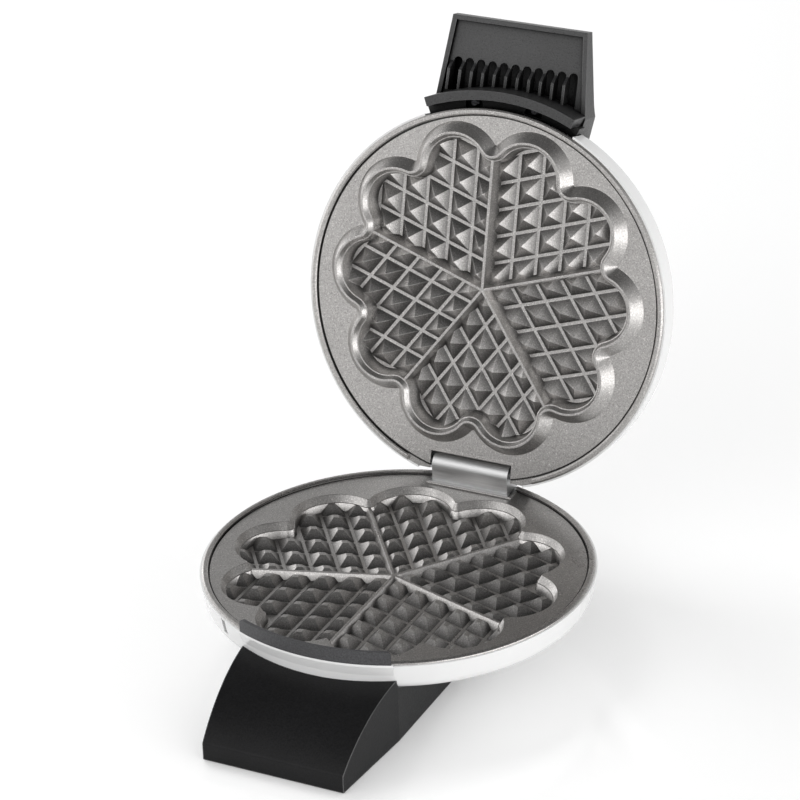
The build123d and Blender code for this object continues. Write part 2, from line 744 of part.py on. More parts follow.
def terminal_block():
    floor = bowl_level + shell_wall
    x, y = terminal_length / 2, terminal_width / 2
    block = box_between(-x, x, terminal_back - y, terminal_back + y, floor, floor + terminal_height)
    block = chamfer(block.edges().filter_by(Axis.Z), terminal_bore)
    for index in range(terminal_ways):
        place = (index - (terminal_ways - 1) / 2) * terminal_length / terminal_ways
        block -= cylinder(2 * terminal_bore, floor + terminal_height / 2, floor + terminal_height + 1,
                          place, terminal_back)
        wire_way = Plane.XZ.offset(-terminal_back - y - 1) * Pos(place, floor + terminal_height / 3)
        block -= wire_way * extrude(Circle(terminal_bore), terminal_width + 2)
    return block


def thermal_fuse():
    """Fuse in its saddle clip, against the reflector's outside."""
    level = lower_reflector_level - reflector_sheet
    half = fuse_length / 2
    fuse = Pos(-half, 0, level - fuse_radius) * Rot(0, 90, 0) * extrude(Circle(fuse_radius), fuse_length)
    return Pos(0, -flower_shift, 0) * fuse


def fuse_clip():
    level = lower_reflector_level - reflector_sheet
    inner = fuse_radius + 0.02
    outer = inner + fuse_clip_sheet
    section = (Circle(outer) + Rectangle(2 * outer, outer, align=(Align.CENTER, Align.MIN))
               + Pos(0, fuse_radius - fuse_clip_sheet)
               * Rectangle(4 * outer, fuse_clip_sheet, align=(Align.CENTER, Align.MIN))
               - Circle(inner) - Rectangle(2 * inner, 2 * outer, align=(Align.CENTER, Align.MIN)))
    below_reflector = Rectangle(8 * outer, 2 * outer + fuse_radius, align=(Align.CENTER, Align.MIN))
    section &= Pos(0, -2 * outer) * below_reflector
    clip = side_extrusion(section, fuse_clip_width / 2)
    return Pos(0, -flower_shift, level - fuse_radius) * clip


# Feet

def foot_plan(inset):
    """Front foot seen from above."""
    front, root = foot_front_half - inset, foot_root_half - inset
    near, far = -foot_reach + inset, -foot_root_reach
    back = -foot_back_reach - inset
    return make_face(Polyline((-front, near), (front, near), (root, far), (root, back),
                              (-root, back), (-root, far), close=True))


def foot_side(inset, underside):
    """Front foot seen from the side, its top arched."""
    nose = Vector(-foot_reach + inset, foot_level + foot_face - inset / 2)
    root = Vector(-foot_root_reach, foot_root_level - inset)
    run = root - nose
    mid = nose + run * 0.5 + Vector(-run.Y, run.X).normalized() * foot_bulge
    back = -foot_back_reach - inset
    outline = [Line((nose.X, underside), nose), ThreePointArc(nose, mid, root),
               Line(root, (back, root.Y)), Line((back, root.Y), (back, underside)),
               Line((back, underside), (nose.X, underside))]
    return fillet(corner_at(make_face(outline), (nose.X, nose.Y)), foot_nose)


def prism(face, low, high):
    return Pos(0, 0, low) * extrude(face, high - low)


def front_foot():
    """Open-bottomed moulding that the shell's front sits in."""
    top = foot_root_level + foot_bulge + 10
    solid = side_extrusion(foot_side(0, foot_level), foot_root_half + 1) & prism(foot_plan(0), foot_level, top)
    void = (side_extrusion(foot_side(foot_wall, foot_level - 1), foot_root_half)
            & prism(foot_plan(foot_wall), foot_level - 1, top))
    inside = void & prism(foot_plan(foot_wall / 2), foot_level, top)
    foot = solid - void
    for side in (-1, 1):
        x = side * foot_rib_side
        foot += inside & box_between(x - foot_rib_width / 2, x + foot_rib_width / 2, -foot_reach,
                                     -foot_back_reach, foot_level + foot_rib_width, top)
        x = side * front_pad_side
        foot += inside & box_between(x - front_pad_length / 2 - foot_wall, x + front_pad_length / 2 + foot_wall,
                                     -foot_reach, -foot_reach + front_pad_width + 3 * foot_wall,
                                     foot_level, foot_level + foot_face)
        x = side * foot_screw_side
        foot += cylinder(2 * foot_boss_radius, foot_level + foot_rib_width, bowl_level, x, -foot_screw_reach)
        foot += inside & box_between(x - foot_rib_width / 2, side * foot_root_half, -foot_screw_reach - 1,
                                     -foot_screw_reach + 1, foot_level + foot_rib_width, bowl_level)
    foot -= bowl_solid(-seat_gap, 0)
    for pad in front_pads():
        foot -= pad
    for side in (-1, 1):
        x = side * foot_screw_side
        foot -= cylinder(foot_screw_radius + screw_gap, foot_level - 1, bowl_level + 1, x, -foot_screw_reach)
        foot -= cylinder(plate_screw_head + screw_gap, foot_level - 1,
                         foot_level + foot_face / 2, x, -foot_screw_reach)
    return foot


def front_pads():
    middle = -foot_reach + 2 * foot_wall + front_pad_width / 2
    pad = RectangleRounded(front_pad_length, front_pad_width, front_pad_width / 3)
    return [Pos(side * front_pad_side, middle, foot_level - pad_proud) * extrude(pad, pad_thickness)
            for side in (-1, 1)]


def rear_pads():
    return [cylinder(rear_pad_radius, foot_level - pad_proud, foot_level - pad_proud + pad_thickness, x, y)
            for x, y in rear_foot_places()]


def foot_screws():
    seat = foot_level + foot_face / 2
    length = bowl_level - seat + foot_screw_length - shell_wall - 1
    return [screw(side * foot_screw_side, -foot_screw_reach, seat, 1, foot_screw_radius, plate_screw_head, length)
            for side in (-1, 1)]


def front_apron():
    """Upright curved wall before the plate, on a flange under the plate's lip."""
    base = -rim_overhang - apron_flange
    wall = sector(apron_inner, apron_inner + apron_wall, apron_half_angle, apron_foot, apron_rise)
    ends = wall.faces().sort_by(Axis.X)
    upper = [face.edges().sort_by(Axis.Z)[-1] for face in (ends[0], ends[-1])]
    wall = fillet(upper, 3 * apron_flange)
    neck = sector(plate_radius + apron_neck_gap, apron_neck_reach, apron_half_angle, base, 0)
    flange = sector(guard_inner - shell_wall / 3, apron_neck_reach, apron_half_angle,
                    base, -rim_overhang - seat_gap / 2)
    return wall + neck + flange


# Hinge

def tower_side(inset, foot):
    """Hinge cover seen from the side: a roll about the hinge's axis on two legs."""
    radius = tower_radius - inset
    left, right = hinge_back - radius, hinge_back + radius
    outline = [Line((left, foot), (left, hinge_rise)),
               ThreePointArc((left, hinge_rise), (hinge_back, hinge_rise + radius), (right, hinge_rise)),
               Line((right, hinge_rise), (right, foot)), Line((right, foot), (left, foot))]
    return make_face(outline)


def hinge_cover():
    foot = -surround_drop
    cover = side_extrusion(tower_side(0, foot), tower_half)
    cover -= side_extrusion(tower_side(cover_sheet, foot - 1), tower_half - cover_sheet)
    front = hinge_back - tower_radius
    border_top = foot + notch_border_rise
    cover += box_between(-tower_half - cover_lip / 2, tower_half + cover_lip / 2, front - cover_lip,
                         front + cover_sheet, border_top, border_top + cover_lip_wall)
    return cover - across(pin_radius + screw_gap, -2 * tower_half, 2 * tower_half)


def hinge_bracket():
    foot = hinge_block_level()
    bracket = across(barrel_radius, -barrel_half, barrel_half)
    bracket += box_between(-barrel_half, barrel_half, hinge_back - web_wall / 2, hinge_back + web_wall / 2,
                           foot, hinge_rise)
    front = hinge_back - tower_radius + seat_gap
    bracket += box_between(-barrel_half, barrel_half, front, hinge_back + web_wall / 2,
                           foot, foot + bracket_sheet)
    bracket -= across(pin_radius, -2 * barrel_half, 2 * barrel_half)
    for side in (-1, 1):
        bracket -= cylinder(hinge_screw_radius + screw_gap, foot - 1, foot + bracket_sheet + 1,
                            side * hinge_screw_side, hinge_screw_back)
    return bracket


def hinge_bracket_screws():
    seat = hinge_block_level() + bracket_sheet
    length = bracket_sheet + hinge_screw_length - 1
    return [screw(side * hinge_screw_side, hinge_screw_back, seat, -1, hinge_screw_radius, hinge_screw_head,
                  length) for side in (-1, 1)]


def hinge_pin():
    pin = across(pin_radius, -pin_half, pin_half)
    return chamfer(pin.edges().filter_by(GeomType.CIRCLE), pin_end / 2)


def pin_clips():
    start = ear_inner + ear_wall + clip_gap
    ring = across(clip_radius, start, start + clip_wall) - across(pin_radius, start - 1, start + clip_wall + 1)
    return both_sides(ring)


def ear_side():
    """Ear of the lid's hinge bracket: a disc about the pin, drawn out to the web."""
    top = lid_web_level + bracket_sheet
    web_middle = (lid_web_front + lid_web_back) / 2
    disc = Pos(hinge_back, hinge_rise) * Circle(ear_radius)
    arm = make_face(Polyline((web_middle, top), (lid_web_back, top),
                             (hinge_back + 0.6 * ear_radius, hinge_rise + 0.8 * ear_radius),
                             (hinge_back - 0.8 * ear_radius, hinge_rise - 0.6 * ear_radius), close=True))
    return disc + arm


def lid_hinge_bracket():
    outer = ear_inner + ear_wall
    bracket = box_between(-outer, outer, lid_web_front, lid_web_back, lid_web_level, lid_web_level + bracket_sheet)
    for ear in both_sides(Plane.YZ.offset(ear_inner) * extrude(ear_side(), ear_wall)):
        bracket += ear
    bracket -= across(pin_radius + pin_clearance, -2 * outer, 2 * outer)
    for side in (-1, 1):
        bracket -= cylinder(hinge_screw_radius + screw_gap, lid_web_level - 1, lid_web_level + bracket_sheet + 1,
                            side * lid_web_screw_side, lid_web_screw_back)
    return bracket


def lid_hinge_screws():
    length = bracket_sheet + hinge_screw_length
    return [screw(side * lid_web_screw_side, lid_web_screw_back, lid_web_level, 1, hinge_screw_radius,
                  hinge_screw_head, length - 1) for side in (-1, 1)]


# Sloped control panel's own frame: origin on its surface at the dial's centre, Z along its normal

panel_angle = degrees(atan2(handle_tail_top - handle_bend_top, handle_bend_reach - handle_tail_reach))
panel_origin_level = handle_bend_top + (handle_bend_reach - dial_reach) * tan(radians(panel_angle))
control_frame = Pos(0, -dial_reach, panel_origin_level) * Rot(panel_angle, 0, 0)


# Upper shell

def upper_shell():
    body = dome_solid(0, 0)
    shell = body - dome_solid(shell_wall, 1)
    for side in (-1, 1):
        boss = cylinder(2.2 * hinge_screw_radius, lid_web_level + bracket_sheet, dome_level,
                        side * lid_web_screw_side, lid_web_screw_back)
        shell += boss & body
    for side in (-1, 1):
        shell -= cylinder(hinge_screw_radius, lid_web_level, lid_web_level + bracket_sheet + hinge_screw_length,
                          side * lid_web_screw_side, lid_web_screw_back)
    # front window that the handle's inner wall closes
    shell -= sector(guard_inner - shell_wall, 1.1 * shell_radius, window_half_angle, 0, handle_root_under + 0.4)
    # slot at the back for the hinge
    slot_top = hinge_rise + tower_radius + tower_clearance
    slot_reach = 1.1 * shell_radius
    lean = open_angle - 90
    rise = (slot_reach - hinge_back) * tan(radians(max(lean, 0)))
    slot = make_face(Polyline((notch_front, 0), (slot_reach, 0), (slot_reach, slot_top + rise + tower_clearance),
                              (hinge_back, slot_top + tower_clearance), (notch_front, slot_top), close=True))
    shell -= side_extrusion(slot, lid_notch_half)
    # ways through for the control and the lamps
    shell -= control_frame * cylinder(bush_radius + bush_gap, -4 * handle_wall - 10, 1)
    for side in (-1, 1):
        shell -= control_frame * cylinder(lens_radius + bush_gap, -4 * handle_wall - 10, 1, side * lens_side, 0)
        shell -= cylinder(handle_screw_radius + screw_gap, 0, 2 * dome_level,
                          side * tail_screw_side, -tail_screw_reach)
    return shell


# Handle

def handle_plan(inset):
    tip, root, tail = handle_tip_half - inset, handle_root_half - inset, handle_tail_half - inset
    near, far, end = -handle_reach + inset, -handle_root_reach, -handle_tail_reach - inset
    face = make_face(Polyline((-tip, near), (tip, near), (root, far), (tail, end), (-tail, end),
                              (-root, far), close=True))
    tail_corners = face.vertices().sort_by(Axis.Y)[-2:]
    return fillet(tail_corners, handle_tail_rounding - inset)


def underside_level(y):
    """Lower edge of the handle's side walls."""
    share = min((y + handle_reach) / (handle_reach - handle_root_reach), 1)
    return handle_tip_under + (handle_root_under - handle_tip_under) * share


def handle_side(inset, drop):
    """Handle seen from the side, its underside dropped by drop."""
    near, far = -handle_reach + inset, -handle_tail_reach - inset
    outline = make_face(Polyline(
        (near, underside_level(-handle_reach) - drop), (near, handle_tip_top - inset),
        (-handle_bend_reach, handle_bend_top - inset), (far, handle_tail_top - inset),
        (far, handle_root_under - drop), (-handle_root_reach, handle_root_under - drop), close=True))
    bend = corner_at(outline, (-handle_bend_reach, handle_bend_top - inset))
    return fillet(bend, handle_bend_rounding)


def slot_place(index):
    """X of a slot's middle, or of a fin's for half numbers."""
    return (index - (slot_count - 1) / 2) * slot_pitch


def guard_screw_places():
    return [polar(pocket_reach, 270 + side * pocket_angle) for side in (-1, 1)]


def tail_screw_places():
    return [Vector(side * tail_screw_side, -tail_screw_reach) for side in (-1, 1)]


def crown_level(radius):
    """Top of the upper shell's crown at a radius."""
    return dome_level - crown_drop(radius, dome_shoulder_radius, dome_level - dome_shoulder_level)


def tail_screw_seat():
    """Level of the screws' heads under the crown, clear of its slope."""
    reach = sqrt(tail_screw_side ** 2 + tail_screw_reach ** 2)
    return crown_level(reach + handle_screw_head) - shell_wall - seat_gap


def handle_top():
    """Black moulding over the handle and the control panel."""
    reach = 2 * dome_level
    solid = side_extrusion(handle_side(0, 0), handle_root_half + 1) & prism(handle_plan(0), 0, reach)
    solid = fillet(solid.edges().filter_by(is_top_edge), handle_edge)
    void = (side_extrusion(handle_side(handle_wall, 1), handle_root_half)
            & prism(handle_plan(handle_wall), 0, reach))
    top = solid - void
    for place in guard_screw_places():
        top += void & cylinder(handle_boss_radius, lip_top + seat_gap, reach, place.X, place.Y)
    for place in tail_screw_places():
        top += void & cylinder(handle_boss_radius, dome_shoulder_level, reach, place.X, place.Y)
    top -= dome_solid(-seat_gap, 0)
    for place in guard_screw_places():
        top -= cylinder(handle_screw_radius, 0, lip_top + handle_screw_bite, place.X, place.Y)
    for place in tail_screw_places():
        top -= cylinder(handle_screw_radius, 0, tail_screw_seat() + tail_screw_length, place.X, place.Y)
    top -= control_frame * cylinder(spindle_radius + bush_gap, -2 * handle_wall, 1)
    for side in (-1, 1):
        top -= control_frame * cylinder(lens_radius, -2 * handle_wall, 1, side * lens_side, 0)
    return top


def is_top_edge(edge):
    """Whether an edge runs round the handle's upper surface."""
    middle = edge @ 0.5
    bend_rise = (handle_bend_top - handle_tip_top) / (handle_reach - handle_bend_reach)
    if middle.Y < -handle_bend_reach:
        surface = handle_tip_top + (middle.Y + handle_reach) * bend_rise
    else:
        surface = handle_bend_top + (middle.Y + handle_bend_reach) * tan(radians(panel_angle))
    at_the_bend = abs(middle.X) < handle_tail_half / 2 and -handle_reach + 1 < middle.Y < -handle_tail_reach - 1
    return abs(middle.Z - surface) < handle_edge and not at_the_bend


def handle_underside():
    """Underside cover: sunk panel with slots and fins, curved lip and the wall that closes the lid's window."""
    inner = prism(handle_plan(handle_wall + handle_fit), 0, dome_level)
    near, far = -handle_reach, -handle_root_reach
    low_near, low_far = underside_level(near) + panel_sink, underside_level(far) + panel_sink
    panel_face = make_face(Polyline((near, low_near), (far, low_far), (far, low_far + panel_wall),
                                    (near, low_near + panel_wall), close=True))
    cover = side_extrusion(panel_face, handle_root_half) & inner
    slot_end = -lip_inner - slot_length + slot_width / 2
    for index in range(slot_count):
        cover -= cylinder(slot_width / 2, 0, dome_level, slot_place(index), slot_end)
        cover -= box_between(slot_place(index) - slot_width / 2, slot_place(index) + slot_width / 2,
                             slot_end, far + 1, 0, dome_level)
    # fins: flush at first, then out along a ramp and straight on to the lip
    fin_near = -lip_inner - slot_length + fin_lead
    slope = (low_far - low_near) / (far - near)
    first = low_near + (fin_near - near) * slope
    crest = first + fin_rise * slope - fin_rise
    fin_far = -lip_inner
    fin_face = make_face(Polyline((fin_near, first + panel_wall / 2), (fin_near, first),
                                  (fin_near + fin_rise, crest),
                                  (fin_far, crest + (fin_far - fin_near - fin_rise) * slope),
                                  (fin_far, first + panel_wall / 2 + (fin_far - fin_near) * slope), close=True))
    fins = [Pos(slot_place(index - 0.5), 0, 0) * side_extrusion(fin_face, fin_wall / 2)
            for index in range(slot_count)]
    core = cylinder(lip_inner + lip_wall / 2, 0, dome_level)
    for fin in fins:
        cover += fin - core
    cover -= cylinder(lip_inner, 0, dome_level)
    # lip and guard, full width below the side walls and between them above
    seam = handle_root_under - handle_fit
    guard_half_angle = window_half_angle - window_margin / 3
    cover += sector(lip_inner, lip_outer, lip_half_angle, lip_level, seam)
    cover += sector(guard_inner, lip_inner, guard_half_angle, guard_level, seam)
    above = sector(guard_inner, lip_outer, guard_half_angle, seam, lip_top)
    cover += (above & inner) - dome_solid(-seat_gap, 0)
    for side in (-1, 1):
        pocket = box_between(-pocket_width / 2, pocket_width / 2, -pocket_reach - pocket_span / 2,
                             -pocket_reach + pocket_span / 2, 0, guard_level + pocket_depth)
        cover -= Rot(0, 0, side * pocket_angle) * pocket & cylinder(lip_inner, 0, dome_level)
    for place in guard_screw_places():
        cover -= cylinder(handle_screw_radius + screw_gap, 0, dome_level, place.X, place.Y)
    return cover


def handle_screws():
    seat = guard_level + pocket_depth
    length = lip_top + handle_screw_bite - seat
    return [screw(place.X, place.Y, seat, 1, handle_screw_radius, handle_screw_head, length)
            for place in guard_screw_places()]


def panel_screws():
    return [screw(place.X, place.Y, tail_screw_seat(), 1, handle_screw_radius, handle_screw_head,
                  tail_screw_length) for place in tail_screw_places()]


# Browning control and lamps

def browning_dial():
    crest_radius = dial_radius - dial_height * tan(radians(dial_draft))
    outline = Polyline((0, 0), (dial_radius, 0), (crest_radius, dial_height - dial_edge),
                       (crest_radius - dial_edge, dial_height), (0, dial_height), close=True)
    dial = revolve(Plane.XZ * make_face(outline), Axis.Z)
    for index in range(dial_flutes):
        place = polar(dial_radius, index * 360 / dial_flutes)
        dial -= cylinder(dial_flute_radius, -1, dial_height + 1, place.X, place.Y)
    mark = box_between(-dial_mark_width / 2, dial_mark_width / 2, -dial_radius, -dial_radius / 3,
                       dial_height - dial_mark_depth, dial_height + 1)
    dial -= mark
    dial -= cylinder(spindle_radius, -1, spindle_bite) & spindle_end()
    return control_frame * Pos(0, 0, dial_gap) * dial


def spindle_end():
    """Space that the spindle's flatted end fills, from the dial's underside."""
    return box_between(-spindle_radius, spindle_flat, -spindle_radius, spindle_radius, -1, spindle_bite)


def spindle_foot():
    return -thermostat_drop - thermostat_height / 2


def dial_spindle():
    shaft = cylinder(spindle_radius, spindle_foot(), dial_gap)
    end = Pos(0, 0, dial_gap) * (cylinder(spindle_radius, 0, spindle_bite) & spindle_end())
    return control_frame * (shaft + end)


def thermostat():
    body = cylinder(thermostat_radius, -thermostat_drop - thermostat_height, -thermostat_drop)
    body += cylinder(bush_radius, -thermostat_drop, -handle_wall - bush_gap)
    body -= cylinder(spindle_radius + spindle_clearance, spindle_foot() - bush_gap, 0)
    # blade terminals out of its two sides
    middle = -thermostat_drop - thermostat_height / 2
    for side in (-1, 1):
        body += box_between(side * (thermostat_radius - tab_sheet), side * (thermostat_radius + tab_length),
                            -tab_width / 2, tab_width / 2, middle - tab_sheet / 2, middle + tab_sheet / 2)
    return control_frame * body


def lens(side):
    body = cylinder(lens_radius, -lens_length, lens_proud)
    body = chamfer(body.edges().sort_by(Axis.Z)[-1], lens_proud / 2)
    return control_frame * Pos(side * lens_side, 0, 0) * body


def indicator_lamps():
    return [control_frame * cylinder(0.9 * lens_radius, -lens_length - lamp_length, -lens_length,
                                     side * lens_side, 0) for side in (-1, 1)]


# The open lid's control reaches furthest back and the foot furthest forward

plates_forward = (opened(browning_dial()).bounding_box().max.Y - foot_reach) / 2


def in_base(shape):
    """Stand a piece of the base on the table."""
    return Pos(0, -plates_forward, plate_level) * shape


def in_lid(shape):
    """Put a piece of the lid where it stands when the lid is open."""
    return in_base(opened(shape))


def save(name, shape, place):
    """Write one sub-part; a list of solids becomes one group."""
    solids = shape if isinstance(shape, list) else [shape]
    placed = [solid for piece in solids for solid in (place(piece)).solids()]
    export_step(Compound(children=placed) if len(placed) > 1 else placed[0], f"parts/{name}.step")


base_pieces = {
    "lower_shell": lower_shell,
    "lower_plate": lower_plate,
    "lower_heater": lambda: heater(lower_back),
    "lower_reflector": lambda: reflector(lower_back),
    "lower_plate_screws": lower_plate_screws,
    "terminal_block": terminal_block,
    "thermal_fuse": thermal_fuse,
    "fuse_clip": fuse_clip,
    "cable_grommet": cable_grommet,
    "front_foot": front_foot,
    "foot_screws": foot_screws,
    "front_pads": front_pads,
    "rear_pads": rear_pads,
    "front_apron": front_apron,
    "hinge_cover": hinge_cover,
    "hinge_bracket": hinge_bracket,
    "hinge_bracket_screws": hinge_bracket_screws,
    "hinge_pin": hinge_pin,
    "pin_clips": pin_clips,
}
lid_pieces = {
    "upper_shell": upper_shell,
    "upper_plate": upper_plate,
    "upper_heater": lambda: upper_frame * heater(upper_back),
    "upper_reflector": lambda: upper_frame * reflector(upper_back),
    "upper_plate_screws": upper_plate_screws,
    "lid_hinge_bracket": lid_hinge_bracket,
    "lid_hinge_screws": lid_hinge_screws,
    "handle_top": handle_top,
    "handle_underside": handle_underside,
    "handle_screws": handle_screws,
    "panel_screws": panel_screws,
    "thermostat": thermostat,
    "power_lens": lambda: lens(-1),
    "ready_lens": lambda: lens(1),
    "indicator_lamps": indicator_lamps,
    "browning_dial": browning_dial,
    "dial_spindle": dial_spindle,
}

for name, make in base_pieces.items():
    save(name, make(), in_base)
for name, make in lid_pieces.items():
    save(name, make(), in_lid)
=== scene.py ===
import bmesh
import bpy
import json
from math import cos, pi, radians, sin
from mathutils import Matrix, Vector


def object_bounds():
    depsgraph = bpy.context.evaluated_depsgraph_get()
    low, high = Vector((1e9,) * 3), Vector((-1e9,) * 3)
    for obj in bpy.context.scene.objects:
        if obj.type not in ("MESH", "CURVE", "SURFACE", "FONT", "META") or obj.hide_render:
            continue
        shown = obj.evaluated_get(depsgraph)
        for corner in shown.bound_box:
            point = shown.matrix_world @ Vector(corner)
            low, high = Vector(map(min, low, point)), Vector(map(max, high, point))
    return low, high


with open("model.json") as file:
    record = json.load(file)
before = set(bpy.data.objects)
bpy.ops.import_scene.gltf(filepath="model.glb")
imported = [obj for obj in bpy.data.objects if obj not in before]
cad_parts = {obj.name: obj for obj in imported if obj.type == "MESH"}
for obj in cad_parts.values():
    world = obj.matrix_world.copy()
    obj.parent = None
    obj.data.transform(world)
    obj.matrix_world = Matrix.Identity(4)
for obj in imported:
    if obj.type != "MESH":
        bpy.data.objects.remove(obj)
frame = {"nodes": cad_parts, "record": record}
cad_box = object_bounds()
scene = bpy.context.scene

# Sizes in metres
MM = 0.001
box_low, box_high = (Vector(corner) for corner in cad_box)
middle = (box_low + box_high) / 2

# Camera: a long lens from the front right, slightly rolled
camera_target = Vector((0.043952, -0.093815, 0.173041))
camera_distance = 1.512016
camera_azimuth = radians(26.547)
camera_elevation = radians(26.777)
camera_roll = radians(-1.765)
camera_lens = 158.78
sensor_width = 36.0
clip_near, clip_far = 0.05, 20

# Cooking plates: each one's axis points out of its face, with the lid open
lid_lean = radians(13.3)
lid_axis = (0, -cos(lid_lean), sin(lid_lean))
lid_centre = (0, 85.649 * MM, 134.343 * MM)
lid_floor_level = -59.0 * MM   # along the axis, from the frame's origin
lid_tip_level = -53.6 * MM
base_axis = (0, 0, 1)
base_centre = (0, -12.734 * MM, 42.3 * MM)
base_floor_level = 33.0 * MM
base_tip_level = 37.2 * MM
groove_radius = 88.9 * MM      # painted shade: fine dark line on the groove inside each plate's rim
groove_half = 0.45 * MM
painted_groove_tone = 0.12
flat_facing = 0.96             # cosine of the tilt up to which a face counts as flat
slope_facing = 0.84            # and from which it counts as a slope
# Painted shade on the mould slopes, darkest at their foot, and painted light near the pyramids' tips
slope_foot_painted_shade = 0.36
slope_tip_painted_light = 1.1
slope_easing = 0.28            # share of the axis that is added to the normals
pole_radius = 8 * MM           # round the dome's axis, where its smooth normals fail

# Material helpers
noise_range = (0.3, 0.7)       # where nearly all of a noise lies
bevel_samples = 6
openness_samples = 8
face_facing = 0.995            # cosine between plain and rounded normal, on a face and on its edge
edge_facing = 0.9

# Floor
floor_white = 0.93
floor_lift = 0.14              # glow that brings the pale floor up to white
floor_roughness = 0.1
floor_ior = 1.5
floor_half = 6.0
floor_cells = 8

# Soft light that matte surfaces get from the studio
low_light = 0.66               # from the horizon
top_light = 0.54               # from overhead
right_light = 0.25             # how much more comes from the right, and less from the left

# Studio that glossy surfaces mirror; directions are parts of a unit vector
wall_light = 1.0
ceiling_light = 0.1
ceiling_lean = 0.2             # lets the white reach higher in front than behind
wall_top = 0.45                # height where the walls' white ends
ceiling_start = 0.85
left_share = 1.05              # brightness of the left wall, and of the front and right ones
right_share = 0.7
left_end, right_start = -0.6, -0.2

# Softboxes: azimuth from the front (-Y) and elevation in degrees, distance and size in metres
lamp_aim_height = 0.12
softboxes = (
    {"name": "front", "azimuth": -15, "elevation": 30, "distance": 2.0, "size": (2.6, 1.2), "radiance": 1.4},
    {"name": "near left", "azimuth": -50, "elevation": 6, "distance": 1.9, "size": (0.8, 0.6), "radiance": 1.3},
    {"name": "right", "azimuth": 78, "elevation": 7, "distance": 1.7, "size": (2.5, 0.7), "radiance": 2.3},
    {"name": "left", "azimuth": -100, "elevation": 5, "distance": 1.7, "size": (1.6, 0.5), "radiance": 1.4},
    {"name": "shadow", "azimuth": -118, "elevation": 46, "distance": 2.2, "size": (1.1, 1.1), "radiance": 4.2,
     "mirrored": False},
)


# Camera

def camera_axes():
    """Right, up and back directions of the camera."""
    back = Vector((sin(camera_azimuth) * cos(camera_elevation),
                   -cos(camera_azimuth) * cos(camera_elevation),
                   sin(camera_elevation)))
    right = Vector((cos(camera_azimuth), sin(camera_azimuth), 0))
    up = back.cross(right)
    c, s = cos(camera_roll), sin(camera_roll)
    return right * c + up * s, up * c - right * s, back


def add_camera():
    data = bpy.data.cameras.new("camera")
    data.lens = camera_lens
    data.sensor_width = sensor_width
    data.clip_start = clip_near
    data.clip_end = clip_far
    camera = bpy.data.objects.new("camera", data)
    right, up, back = camera_axes()
    place = camera_target + back * camera_distance
    turn = Matrix((right, up, back)).transposed().to_4x4()
    camera.matrix_world = Matrix.Translation(place) @ turn
    scene.collection.objects.link(camera)
    scene.camera = camera


# Node helpers

def node(tree, kind, **settings):
    made = tree.nodes.new(kind)
    for key, value in settings.items():
        setattr(made, key, value)
    return made


def feed(tree, socket, value):
    """Link a socket to another one, or give it a plain value."""
    if isinstance(value, bpy.types.NodeSocket):
        tree.links.new(value, socket)
    else:
        socket.default_value = value


def maths(tree, operation, *values):
    """Result of a Math node, from sockets or numbers."""
    made = node(tree, "ShaderNodeMath", operation=operation)
    for socket, value in zip(made.inputs, values):
        feed(tree, socket, value)
    return made.outputs["Value"]


def vector_maths(tree, operation, *values, result="Vector"):
    """Result of a Vector Math node, from sockets or tuples."""
    made = node(tree, "ShaderNodeVectorMath", operation=operation)
    for socket, value in zip(made.inputs, values):
        feed(tree, socket, value)
    return made.outputs[result]


def scaled(tree, vector, factor):
    """A colour or direction times a number."""
    made = node(tree, "ShaderNodeVectorMath", operation="SCALE")
    tree.links.new(vector, made.inputs[0])
    tree.links.new(factor, made.inputs["Scale"])
    return made.outputs["Vector"]


def map_range(tree, value, source, target, interpolation="LINEAR"):
    """Map one range on to another, level beyond its ends."""
    made = node(tree, "ShaderNodeMapRange", interpolation_type=interpolation)
    for name, number in zip(("From Min", "From Max", "To Min", "To Max"), (*source, *target)):
        made.inputs[name].default_value = number
    tree.links.new(value, made.inputs["Value"])
    return made.outputs["Result"]


def mix(tree, share, first, second):
    """Blend of two numbers."""
    made = node(tree, "ShaderNodeMix", data_type="FLOAT")
    for index, value in ((0, share), (2, first), (3, second)):
        feed(tree, made.inputs[index], value)
    return made.outputs[0]


def mix_vectors(tree, share, first, second):
    """Blend of two directions."""
    made = node(tree, "ShaderNodeMix", data_type="VECTOR")
    for index, value in ((0, share), (4, first), (5, second)):
        tree.links.new(value, made.inputs[index])
    return made.outputs[1]


def noise(tree, coordinates, scale, detail=2.0, roughness=0.5, stretch=None):
    """Noise of a given grain, in cells per metre, drawn out where stretch says."""
    source = coordinates
    if stretch:
        mapping = node(tree, "ShaderNodeMapping")
        mapping.inputs["Scale"].default_value = stretch
        tree.links.new(coordinates, mapping.inputs["Vector"])
        source = mapping.outputs["Vector"]
    made = node(tree, "ShaderNodeTexNoise")
    made.inputs["Scale"].default_value = scale
    made.inputs["Detail"].default_value = detail
    made.inputs["Roughness"].default_value = roughness
    tree.links.new(source, made.inputs["Vector"])
    return made.outputs["Fac"]


def cells(tree, coordinates, scale):
    """Distance from the middle of the nearest cell, with so many cells per metre."""
    made = node(tree, "ShaderNodeTexVoronoi")
    made.inputs["Scale"].default_value = scale
    tree.links.new(coordinates, made.inputs["Vector"])
    return made.outputs["Distance"]


def ramp(tree, value, stops):
    """Colour ramp through (position, colour) stops."""
    made = node(tree, "ShaderNodeValToRGB")
    elements = made.color_ramp.elements
    while len(elements) < len(stops):
        elements.new(0.5)
    for element, (position, colour) in zip(elements, stops):
        element.position = position
        element.color = (*colour, 1)
    tree.links.new(value, made.inputs["Fac"])
    return made.outputs["Color"]


def spread(tree, value, low, high):
    """Map noise on to low to high."""
    return map_range(tree, value, noise_range, (low, high))


def shade(colour, factor):
    return tuple(channel * factor for channel in colour)


def new_material(name):
    material = bpy.data.materials.new(name)
    material.use_nodes = True
    tree = material.node_tree
    shader = tree.nodes["Principled BSDF"]
    coordinates = node(tree, "ShaderNodeTexCoord").outputs["Object"]
    return material, tree, shader, coordinates


